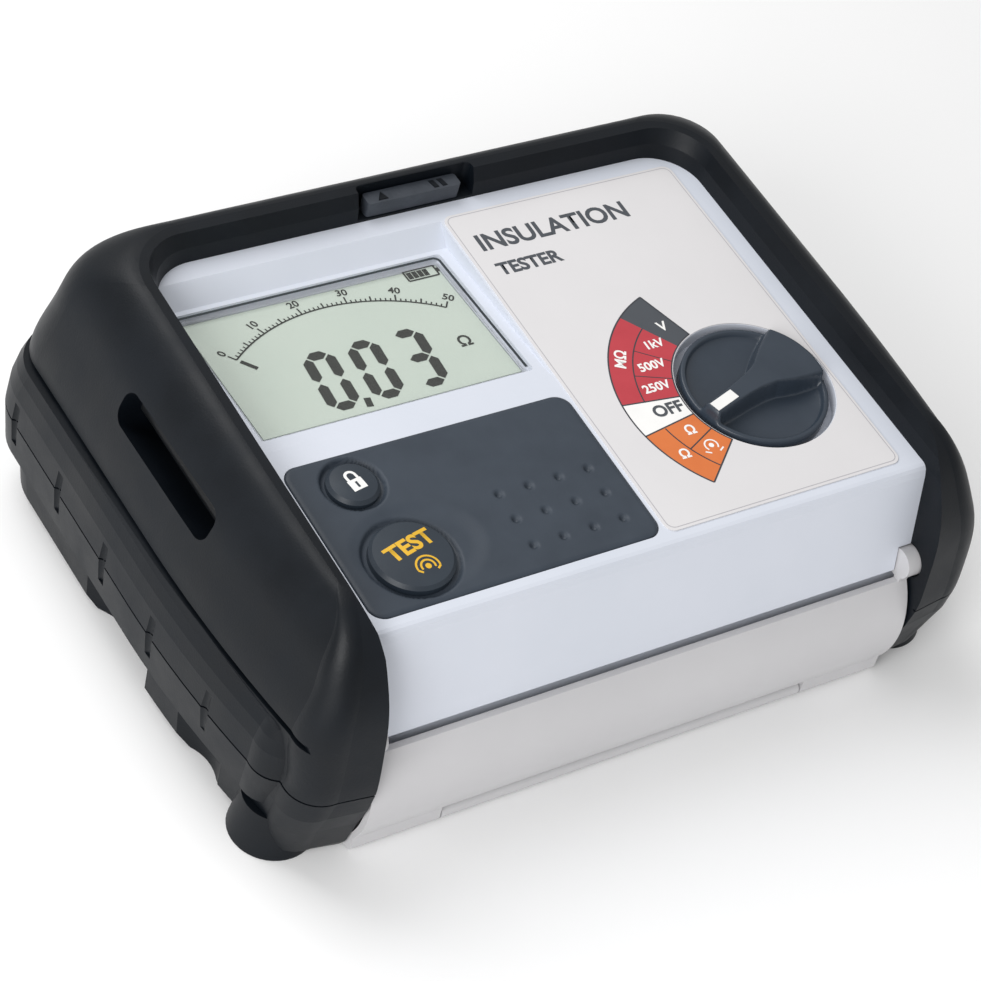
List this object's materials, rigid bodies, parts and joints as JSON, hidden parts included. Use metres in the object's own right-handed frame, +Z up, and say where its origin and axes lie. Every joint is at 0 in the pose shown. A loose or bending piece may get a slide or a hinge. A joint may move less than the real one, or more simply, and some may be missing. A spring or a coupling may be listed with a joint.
{
  "type": "insulation resistance tester",
  "caption": "Handheld insulation resistance tester with rubber armour, sloped display, push buttons, range selector knob and a folding lid stowed underneath.",
  "frame": {"origin": "middle of the footprint, on the surface the tester stands on", "axes": "+X to the right of the reader, +Y to the back where the test sockets are, +Z up"},
  "size_m": [0.207, 0.1503, 0.078],
  "materials": {
    "armour_rubber": "matte",
    "white_abs": "satin",
    "grey_abs": "satin",
    "seal_rubber": "matte",
    "clear_window": "clear",
    "lcd_glass": "gloss",
    "light_guide": "gloss",
    "keypad_rubber": "matte",
    "button_rubber": "matte",
    "board": "satin",
    "black_plastic": "satin",
    "knob_plastic": "satin",
    "white_mark": "gloss",
    "red_plastic": "gloss",
    "steel": "brushed",
    "cell_can": "satin",
    "brass": "polished",
    "transformer_core": "matte",
    "fuse_ceramic": "gloss",
    "label_film": "satin",
    "lid_plastic": "satin",
    "spring_steel": "polished"
  },
  "bodies": {
    "case": {"upper_armour": "armour_rubber", "lower_armour": "armour_rubber", "upper_case": "white_abs", "lower_case": "grey_abs", "case_gasket": "seal_rubber", "display_window": "clear_window", "display_glass": "lcd_glass", "display_light_guide": "light_guide", "keypad_mat": "keypad_rubber", "keypad_board": "board", "button_switches": "black_plastic", "rotary_switch": "black_plastic", "main_board": "board", "inverter_transformer": "transformer_core", "range_relays": "black_plastic", "board_capacitors": "black_plastic", "sounder": "black_plastic", "fuse": "fuse_ceramic", "fuse_clips": "spring_steel", "battery_cells": "cell_can", "battery_holder": "black_plastic", "battery_contacts": "spring_steel", "battery_cover": "grey_abs", "case_screws": "steel", "battery_cover_screw": "steel", "socket_red": "red_plastic", "socket_black": "black_plastic", "socket_contacts": "brass", "socket_board": "board", "label_overlay": "label_film", "rear_catch": "lid_plastic", "strap_bars": "steel", "lid_hinge_pins": "steel"},
    "lock_button": {"lock_button": "button_rubber"},
    "test_button": {"test_button": "button_rubber"},
    "selector": {"selector_knob": "knob_plastic", "knob_mark": "white_mark", "selector_shaft": "steel"},
    "lid_front": {"lid_front": "lid_plastic", "cover_hinge_rod": "steel"},
    "lid_cover": {"lid_cover": "lid_plastic"}
  },
  "joints": [
    {"name": "lock_press", "type": "slide", "parent": "case", "child": "lock_button", "axis": [0, 0.0523, -0.9986], "range_m": [0, 0.001], "stiffness_N_per_m": 1200, "springref_m": -0.0008},
    {"name": "test_press", "type": "slide", "parent": "case", "child": "test_button", "axis": [0, 0.0523, -0.9986], "range_m": [0, 0.0015], "stiffness_N_per_m": 1000, "springref_m": -0.001},
    {"name": "selector_turn", "type": "hinge", "parent": "case", "child": "selector", "pos_m": [0.0501, -0.02415, 0.06596], "axis": [0, -0.0523, 0.9986], "range_deg": [-80, 16]},
    {"name": "lid_swing", "type": "hinge", "parent": "case", "child": "lid_front", "pos_m": [0, -0.067, 0.0375], "axis": [-1, 0, 0], "range_deg": [0, 165]},
    {"name": "lid_fold", "type": "hinge", "parent": "lid_front", "child": "lid_cover", "pos_m": [0, -0.0686, 0.00245], "axis": [-1, 0, 0], "range_deg": [0, 192]}
  ]
}
